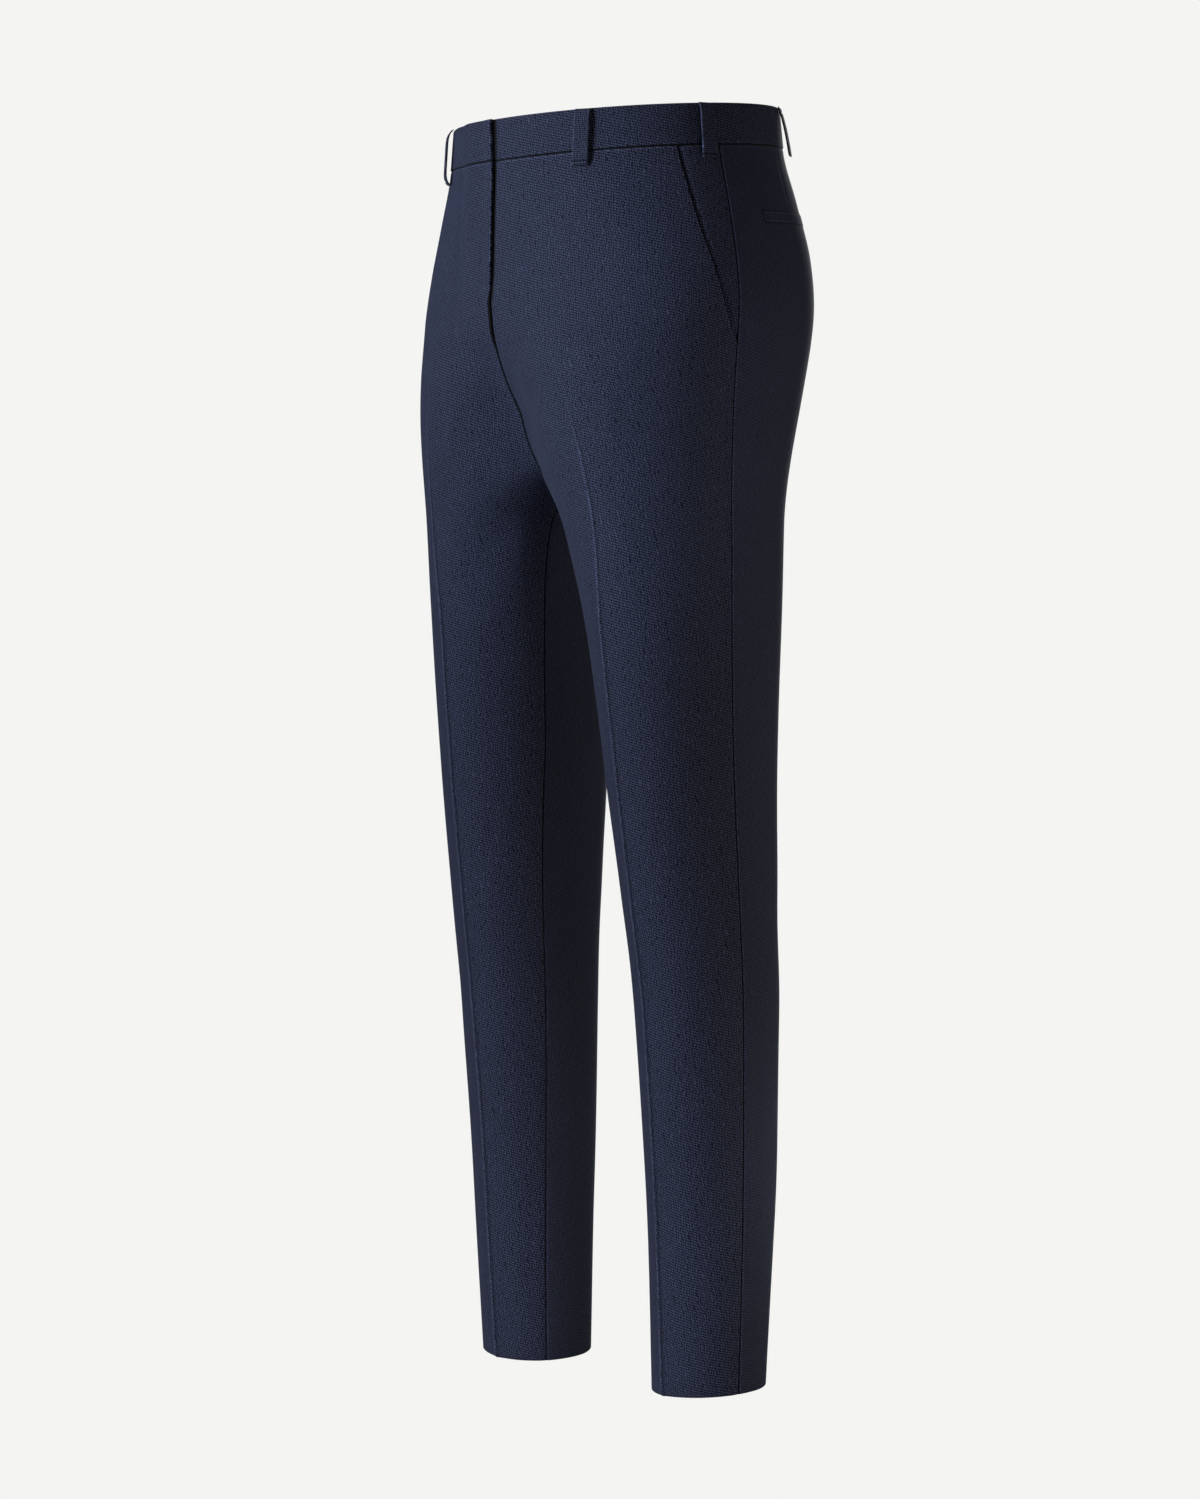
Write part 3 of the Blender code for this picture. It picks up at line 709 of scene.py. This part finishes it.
def makePanel(panel):
    rows = panelRows(panel)
    angle, level = rows["angle"], rows["level"]
    normal = outwardAt(angle, level)
    outer = formAt(angle, level) + normal * panelRelief(panel, rows)[..., None]
    inner = outer - normal * cut["panelWall"]
    edge = cut["meet"] - (underlap(level) if panel["lapped"] else 0.0)
    outer[..., 0], inner[..., 0] = np.maximum(outer[..., 0], edge), np.maximum(inner[..., 0], edge)
    turned = 1.0 if panel["front"] else -1.0
    grainAt = np.stack((rows["fromCrease"] * turned, level), axis=-1)
    edgeAt = panelEdges(panel, rows, outer[..., 0])
    material = navySuiting if panel["front"] else navyShadedBacks
    piece = layCloth(panel["node"], outer, inner, grainAt, edgeAt, material, panel["side"])
    declareSheet(piece, *panel["flat"], restsOn=[bandOn[panel["side"]]])


panels = [
    {"node": "front_left", "side": 1.0, "front": True, "lapped": True, "lapOver": False,
     "folds": leftFolds, "flat": (0.272, 1.020, 0.190)},
    {"node": "front_right", "side": -1.0, "front": True, "lapped": False, "lapOver": True,
     "folds": rightFolds, "flat": (0.272, 1.020, 0.187)},
    {"node": "back_left", "side": 1.0, "front": False, "lapped": False, "lapOver": False,
     "folds": leftFolds, "flat": (0.314, 1.025, 0.237)},
    {"node": "back_right", "side": -1.0, "front": False, "lapped": False, "lapOver": False,
     "folds": rightFolds, "flat": (0.314, 1.025, 0.237)},
]
for panel in panels:
    makePanel(panel)
print("leg panels made")


# the waistband, in two halves that lap at the front
bandCut = {
    "columns": 110, "rows": 9, "readings": 400, "swell": 0.0002, "swellPitch": 0.085,
    "frontDeep": 0.0005, "topDeep": 0.0010, "seamDeep": 0.0012, "reach": 0.0018,
    "lapGape": 0.0014, "lapReach": 0.0140,
    # how far out each line's painted shadow starts and how strong the painted highlight on its fold is
    "back": (0.0004, 0.2), "seam": (-0.0002, 0.2), "top": (0.0012, 0.3), "front": (0.0011, 0.8),
    "lapShadow": 0.0004, "lapShare": 0.22,
}


def makeBand(node, side, lapped, flat):
    height = cut["waistTop"] - cut["waistSeam"]
    along = stepsBetween(np.array([height]), nearEdge, nearEdge, bandCut["rows"])[0]
    level = (cut["waistSeam"] + along)[:, None]
    frontEdge = angleAt(level[:, 0], 90.0, 180.0, cut["seam"] / 2.0 - (cut["lapWidth"] if lapped else 0.0))
    backEdge = angleAt(level[:, 0], -90.0, -180.0, cut["meet"])
    share = np.linspace(0.0, 1.0, bandCut["readings"])[None, :]
    fineAngle = mix(frontEdge[:, None], backEdge[:, None], share)
    run = runOf(formAt(fineAngle, level))
    place = stepsBetween(run[:, -1], nearEdge, nearEdge, bandCut["columns"])
    angle = readRows(place, run, fineAngle)
    raised = np.full_like(angle, cut["bandProud"])
    if not lapped:
        raised = raised + lapHeight(formAt(angle, level)[..., 0], level, bandLift) * (angle > 0.0)
        raised = raised + bandCut["lapGape"] * ease((bandCut["lapReach"] - place) / bandCut["lapReach"])
    fromBack, fromTop, fromSeam = run[:, -1:] - place, cut["waistTop"] - level, level - cut["waistSeam"]
    for distance, deep in ((place, "frontDeep"), (fromBack, "seamDeep"),
                           (fromTop, "topDeep"), (fromSeam, "seamDeep")):
        raised = raised - rolled(distance, bandCut[deep], bandCut["reach"])
    wave = np.sin(place / bandCut["swellPitch"] * 2.0 * math.pi + side)
    raised = raised + bandCut["swell"] * (wave * np.sin(along / along[-1] * math.pi)[:, None])
    normal = outwardAt(angle, level)
    outer = formAt(angle, level) + normal * raised[..., None]
    inner = outer - normal * cut["bandWall"]
    grainAt = np.stack((-place, level + np.zeros_like(place)), axis=-1)

    # painted shadow along each edge and a painted highlight on its fold; the lapped half also carries the
    # painted shadow of the lap over it
    edges = [(distance + bandCut[line][0], bandCut[line][1])
             for distance, line in ((fromBack, "back"), (fromSeam, "seam"), (fromTop, "top"))]
    x = outer[..., 0]
    if lapped:
        shadow = np.abs(x - bandCut["lapShadow"]) * bandCut["lapShare"]
        edges.append((shadow + farOff * (angle < 0.0), 0.0))
    else:
        edges.append((place + bandCut["front"][0], bandCut["front"][1]))
    edgeAt = nearestEdge(*edges)
    if lapped:
        edgeAt[..., 0] *= np.where(x > bandCut["lapShadow"], 1.0, -1.0)
    piece = layCloth(node, outer, inner, grainAt, edgeAt, navySuiting, side)
    declareSheet(piece, *flat)
    print(f"{node}: {run[:, -1].max():.3f} m long")


makeBand("waistband_left", 1.0, True, (0.473, 0.034, 0.0160))
makeBand("waistband_right", -1.0, False, (0.443, 0.034, 0.0150))
print("waistband made")


# the slanted pockets' facings, which sink behind the fronts' edges
facingCut = {
    "columns": 36, "rows": 44, "under": 0.0120, "dipStart": 0.0056, "dipWidth": 0.0050,
    "edgeDeep": 0.0013, "edgeReach": 0.0018, "groove": 0.0002, "grooveReach": 0.0022,
    # how far in each edge's painted shadow starts and how strong its painted highlight is, and the painted
    # shadow in the pocket's mouth
    "side": (0.0001, 0.1), "top": (0.0, 0.5), "mouthShadow": 0.0004, "mouthShare": 0.44,
    "flat": (0.050, 0.161, 0.0058),
}


def makeFacing(node, side):
    height = panelTop - cut["pocketLow"]
    along = stepsBetween(np.array([height]), nearEdge, nearEdge, facingCut["rows"])[0]
    level = (panelTop - along)[:, None]
    ahead = readAt(pocketLine, "ahead", level)
    width = ahead[:, 0] + facingCut["under"] - cut["meet"]
    beside = stepsBetween(width, nearEdge, nearLine, facingCut["columns"]) + cut["meet"]
    angle = asideOf(readAt(legs, "side", level), level, beside)
    level = level + np.zeros_like(beside)
    fromSide, fromTop, pastMouth = beside - cut["meet"], panelTop - level, beside - ahead
    dip = panelLift * ease((pastMouth + facingCut["dipStart"]) / facingCut["dipWidth"])
    dip = dip + rolled(fromSide, facingCut["edgeDeep"], facingCut["edgeReach"])
    dip = dip + rolled(fromTop, facingCut["edgeDeep"], facingCut["edgeReach"])
    dip = dip + facingCut["groove"] * np.exp(-(pastMouth / facingCut["grooveReach"]) ** 2)
    raised = pressedCrease(angle, level) + foldHeight(sharedFolds, angle, level) - dip
    normal = outwardAt(angle, level)
    outer = formAt(angle, level) + normal * raised[..., None]
    inner = outer - normal * cut["panelWall"]
    # painted shadow in the pocket's mouth under the front's edge, and along the sewn edges with painted
    # highlights
    mouth = (pastMouth + facingCut["mouthShadow"]) * facingCut["mouthShare"]
    edges = [(distance + facingCut[line][0], facingCut[line][1])
             for distance, line in ((fromSide, "side"), (fromTop, "top"))]
    edgeAt = nearestEdge(*edges, (np.abs(mouth), 0.0))
    edgeAt[..., 0] *= np.where(mouth < 0.0, -1.0, 1.0)
    grainAt = np.stack((beside, level), axis=-1)
    piece = layCloth(node, outer, inner, grainAt, edgeAt, navySuiting, side)
    declareSheet(piece, *facingCut["flat"], restsOn=[bandOn[side]])


# the back pockets' welts, with a sunk outline; start and end are in degrees
weltCut = {
    "start": -15.4, "end": -79.0, "level": -0.0742, "height": 0.0125, "proud": 0.00045,
    "columns": 60, "rows": 5, "readings": 300, "edgeDeep": 0.0010, "edgeReach": 0.0010,
    # the sunk outline, which also carries a painted shadow with painted highlights outside and inside it
    "grooveIn": 0.0013, "grooveDeep": 0.0006, "grooveReach": 0.0006, "highlightOut": 1.6, "highlightIn": 0.9,
    "flat": (0.133, 0.0125, 0.00166),
}
narrowEdge, narrowLine = nearEdge[:5], nearLine[:3]  # for strips too narrow for all the fine steps


def makeWelt(node, side):
    half = stepsBetween(np.array([weltCut["height"] / 2.0]), narrowEdge, narrowLine, weltCut["rows"])[0]
    along = np.concatenate((half, weltCut["height"] - half[:-1][::-1]))
    level = (weltCut["level"] + weltCut["height"] / 2.0 - along)[:, None]
    fineAngle = np.linspace(weltCut["start"], weltCut["end"], weltCut["readings"])[None, :] + 0.0 * level
    run = runOf(formAt(fineAngle, level))
    place = stepsBetween(run[:, -1], narrowEdge, narrowEdge, weltCut["columns"])
    angle = readRows(place, run, fineAngle)
    level = level + np.zeros_like(angle)
    raised = weltCut["proud"] + foldHeight(sharedFolds, angle, level)
    normal = outwardAt(angle, level)
    inner = formAt(angle, level) + normal * (raised - cut["weltWall"])[..., None]
    fromEnd = np.minimum(place, run[:, -1:] - place)
    fromSide = np.minimum(along, weltCut["height"] - along)[:, None]
    for distance in (fromEnd, fromSide):
        raised = raised - rolled(distance, weltCut["edgeDeep"], weltCut["edgeReach"])
    inward = np.minimum(fromEnd, fromSide) - weltCut["grooveIn"]
    raised = raised - weltCut["grooveDeep"] * np.exp(-(inward / weltCut["grooveReach"]) ** 2)
    outer = formAt(angle, level) + normal * raised[..., None]
    # painted shadow along the sunk outline, with painted highlights outside and inside it
    edgeHighlight = np.where(inward < 0.0, weltCut["highlightOut"], weltCut["highlightIn"])
    edgeAt, grainAt = nearestEdge((np.abs(inward), edgeHighlight)), np.stack((-place, level), axis=-1)
    piece = layCloth(node, outer, inner, grainAt, edgeAt, navyShadedBacks, side)
    declareSheet(piece, *weltCut["flat"], restsOn=[node.replace("back_welt", "back")])
    print(f"{node}: {run[:, -1].max():.3f} m long")


for word, side in (("left", 1.0), ("right", -1.0)):
    makeFacing(f"pocket_facing_{word}", side)
    makeWelt(f"back_welt_{word}", side)
print("pockets made")


# belt loops: pressed strips that stand off the band from their sewn ends
loopCut = {
    # the angle in degrees, the lower end's level and the length cut
    "places": {"front": (76.0, -0.0270, 0.050), "side": (10.5, -0.0270, 0.050),
               "back": (-59.0, -0.0215, 0.043)},
    "closer": {"belt_loop_front_left": 0.0022, "belt_loop_side_left": 0.0016},  # pressed nearer the band
    "freeBelow": ("belt_loop_back_left", "belt_loop_back_right"),  # sewn at the top alone
    "width": 0.0140, "top": 0.0188, "seat": 0.0005, "stand": 0.0047, "flatness": 6, "freePower": 2.2,
    "columns": 5, "rows": 44, "edgeDeep": 0.0006, "edgeReach": 0.0016, "middleDip": 0.00025,
    "endDeep": 0.0005, "endReach": 0.0012,
    "tackUp": 0.0036, "tackDeep": 0.0006, "tackReach": 0.0008,  # the line sewn across an end
    "tackSteps": (-0.0016, -0.0008, -0.0004, 0.0, 0.0004, 0.0008, 0.0016),
    # where the painted shadows lie in from each edge, and how strong the painted highlights are
    "line": 0.0003, "litLine": 0.0011, "edgeHighlight": 1.0, "tackHighlight": 0.2, "areaShare": 0.99,
}


def makeLoop(node, angle, low, cutLength, side):
    length, width = loopCut["top"] - low, loopCut["width"]
    freeBelow = node in loopCut["freeBelow"]
    tack = loopCut["tackUp"] / length if freeBelow else 1.0 - loopCut["tackUp"] / length
    near = tack + np.array(loopCut["tackSteps"]) / length
    along = np.sort(np.concatenate((np.linspace(0.0, 1.0, loopCut["rows"]), near)))[:, None]
    beside = stepsBetween(np.array([width]), narrowEdge, narrowEdge, loopCut["columns"])
    level = mix(loopCut["top"], low, along)
    base = formAt(np.full_like(level, angle), level)
    normal = outwardAt(np.array(angle), np.array(0.0)) * (1.0, 1.0, 0.0)
    normal = normal / np.linalg.norm(normal)
    across = np.cross((0.0, 0.0, 1.0), normal) * (beside - width / 2.0)[..., None]
    standing = 1.0 - (2.0 * along - 1.0) ** loopCut["flatness"]  # an even power: both ends come in
    if freeBelow:
        standing = 1.0 - (1.0 - along) ** loopCut["freePower"]
    farthest = loopCut["stand"] - loopCut["closer"].get(node, 0.0)
    stand = cut["bandProud"] + cut["loopWall"] + mix(loopCut["seat"], farthest, standing)
    fromTack, fromLow = np.abs(along - tack) * length, (1.0 - along) * length
    sunk = rolled(np.minimum(beside, width - beside), loopCut["edgeDeep"], loopCut["edgeReach"])
    sunk = sunk + rolled(np.minimum(along, 1.0 - along) * length, loopCut["endDeep"], loopCut["endReach"])
    sunk = sunk + loopCut["tackDeep"] * np.exp(-(fromTack / loopCut["tackReach"]) ** 2)
    sunk = sunk + loopCut["middleDip"] * np.sin(beside / width * math.pi) ** 2
    outer = base + normal * (stand - sunk)[..., None] + across
    inner = base + normal * (stand - cut["loopWall"])[..., None] + across
    grainAt = np.stack(np.broadcast_arrays(beside, level), axis=-1)
    # a painted highlight along one long edge, and painted shadow along the other, across the sewn line and
    # under the lower end
    toLeft, toRight = (beside, width - beside) if side > 0.0 else (width - beside, beside)
    line, lit = loopCut["line"], loopCut["line" if freeBelow else "litLine"]
    edgeAt = nearestEdge((toLeft + lit, loopCut["edgeHighlight"]), (toRight + line, 0.0),
                         (fromTack + line, loopCut["tackHighlight"]), (fromLow + line, 0.0))
    piece = layCloth(node, outer, inner, grainAt, edgeAt, navyLoops, side)
    area = width * cutLength * loopCut["areaShare"]
    declareSheet(piece, width, cutLength, area, held="folded", restsOn=[bandOn[side]])


for spot, (angle, low, cutLength) in loopCut["places"].items():
    makeLoop(f"belt_loop_{spot}_left", angle, low, cutLength, 1.0)
    makeLoop(f"belt_loop_{spot}_right", angle, low, cutLength, -1.0)
centreBack = float(angleAt(np.array(0.0), -90.0, -180.0, 0.0))
makeLoop("belt_loop_centre_back", centreBack, *loopCut["places"]["back"][1:], 1.0)
print("belt loops made")


# studio: pale floor and surround, soft keys from the front, a side fill and a faint rim from behind
studio = {
    "pale": (0.905, 0.905, 0.888), "around": 0.03,
    "floorHalf": 9.0, "floorDrop": 0.0005, "floorBounce": 0.24,
    # name, place, what it is aimed at, size, spread in degrees, power, colour
    "lights": (
        ("frontKey", (-0.60, -3.75, 0.3), (0.0, 0.0, -0.45), 1.4, 180.0, 80.0, (1.0, 1.0, 1.0)),
        ("highKey", (-0.98, -3.67, 2.3), (0.0, 0.0, -0.45), 1.2, 180.0, 43.0, (1.0, 1.0, 1.0)),
        ("hipKey", (-0.60, -2.40, 0.30), (-0.02, -0.12, 0.0), 0.5, 30.0, 1.0, (0.94, 0.97, 1.0)),
        ("thighKey", (1.30, -2.30, -0.25), (0.13, -0.05, -0.28), 0.15, 10.0, 0.045, (1.0, 1.0, 1.0)),
        ("hipSide", (2.60, -0.60, 0.10), (0.17, 0.00, -0.10), 0.4, 14.0, 0.018, (0.95, 0.97, 1.0)),
        ("lowBack", (1.50, 1.40, -0.82), (0.15, 0.03, -0.86), 0.15, 10.0, 0.03, (1.0, 0.95, 0.86)),
        ("hemKey", (0.30, -2.30, -0.75), (0.0, 0.0, -1.02), 0.5, 26.0, 0.6, (1.0, 0.94, 0.86)),
        ("sideFill", (2.90, -0.78, -0.5), (0.0, 0.0, -0.50), 1.0, 180.0, 13.4, (1.0, 0.90, 0.71)),
        ("backRim", (1.41, 1.69, -0.85), (0.15, 0.05, -0.92), 0.8, 80.0, 4.5, (1.0, 0.91, 0.70)),
        ("backFill", (-2.30, 3.00, 0.4), (0.0, 0.0, -0.45), 1.4, 180.0, 60.0, (1.0, 1.0, 1.0)),
    ),
}


def paleFinish(material, bounce):
    # the camera sees one even pale tone; the cloth sees a dimmer bounce
    nodes, links = material.node_tree.nodes, material.node_tree.links
    nodes.clear()
    output = nodes.new("ShaderNodeOutputMaterial")
    seen, chosen = nodes.new("ShaderNodeLightPath"), nodes.new("ShaderNodeMixShader")
    even, matt = nodes.new("ShaderNodeEmission"), nodes.new("ShaderNodeBsdfDiffuse")
    even.inputs["Color"].default_value = (*studio["pale"], 1.0)
    even.inputs["Strength"].default_value = 1.0
    matt.inputs["Color"].default_value = (*(bounce * value for value in studio["pale"]), 1.0)
    links.new(seen.outputs["Is Camera Ray"], chosen.inputs["Fac"])
    links.new(matt.outputs["BSDF"], chosen.inputs[1])
    links.new(even.outputs["Emission"], chosen.inputs[2])
    links.new(chosen.outputs["Shader"], output.inputs["Surface"])


floorMesh = bmesh.new()
bmesh.ops.create_grid(floorMesh, x_segments=1, y_segments=1, size=studio["floorHalf"])
bmesh.ops.translate(floorMesh, verts=floorMesh.verts[:], vec=(0.0, 0.0, cadBox[0][2] - studio["floorDrop"]))
floorData = bpy.data.meshes.new("floor")
floorMesh.to_mesh(floorData)
floorMesh.free()
floor = bpy.data.objects.new("floor", floorData)
bpy.context.scene.collection.objects.link(floor)
floorPaint = bpy.data.materials.new("paleFloor")
floorPaint.use_nodes = True
paleFinish(floorPaint, studio["floorBounce"])
floorData.materials.append(floorPaint)

world = bpy.data.worlds.new("studio")
bpy.context.scene.world = world
world.use_nodes = True
worldNodes, worldLinks = world.node_tree.nodes, world.node_tree.links
surround, seenBy = worldNodes["Background"], worldNodes.new("ShaderNodeLightPath")
surround.inputs["Color"].default_value = (*studio["pale"], 1.0)
glow = worldNodes.new("ShaderNodeMapRange")
glow.inputs["To Min"].default_value = studio["around"]
glow.inputs["To Max"].default_value = 1.0
worldLinks.new(seenBy.outputs["Is Camera Ray"], glow.inputs["Value"])
worldLinks.new(glow.outputs["Result"], surround.inputs["Strength"])

for name, place, aim, size, spread, power, colour in studio["lights"]:
    lamp = bpy.data.lights.new(name, "AREA")
    lamp.shape = "SQUARE"
    lamp.size, lamp.spread, lamp.energy, lamp.color = size, math.radians(spread), power, colour
    light = bpy.data.objects.new(name, lamp)
    light.location = place
    light.rotation_euler = (Vector(aim) - Vector(place)).to_track_quat("-Z", "Y").to_euler()
    bpy.context.scene.collection.objects.link(light)
bpy.context.scene.view_settings.view_transform = "Standard"

# the camera stands round towards the wearer's left; azimuth and pitch in degrees, lens in millimetres
cameraSet = {"azimuth": 52.6, "distance": 3.467, "height": -0.4125, "pitch": 1.545, "aside": -0.011,
             "lens": 99.41, "sensor": 36.0}
turn, pitch = math.radians(cameraSet["azimuth"]), math.radians(cameraSet["pitch"])
towards = Vector((math.sin(turn), -math.cos(turn), 0.0))
right = Vector((math.cos(turn), math.sin(turn), 0.0))
cameraData = bpy.data.cameras.new("camera")
cameraData.lens, cameraData.sensor_width = cameraSet["lens"], cameraSet["sensor"]
cameraData.sensor_fit = "AUTO"
camera = bpy.data.objects.new("camera", cameraData)
standingAt = towards * cameraSet["distance"] + right * cameraSet["aside"]
camera.location = standingAt + Vector((0.0, 0.0, cameraSet["height"]))
looking = -towards * math.cos(pitch) - Vector((0.0, 0.0, math.sin(pitch)))
camera.rotation_euler = looking.to_track_quat("-Z", "Y").to_euler()
bpy.context.scene.collection.objects.link(camera)
bpy.context.scene.camera = camera
print("studio ready")
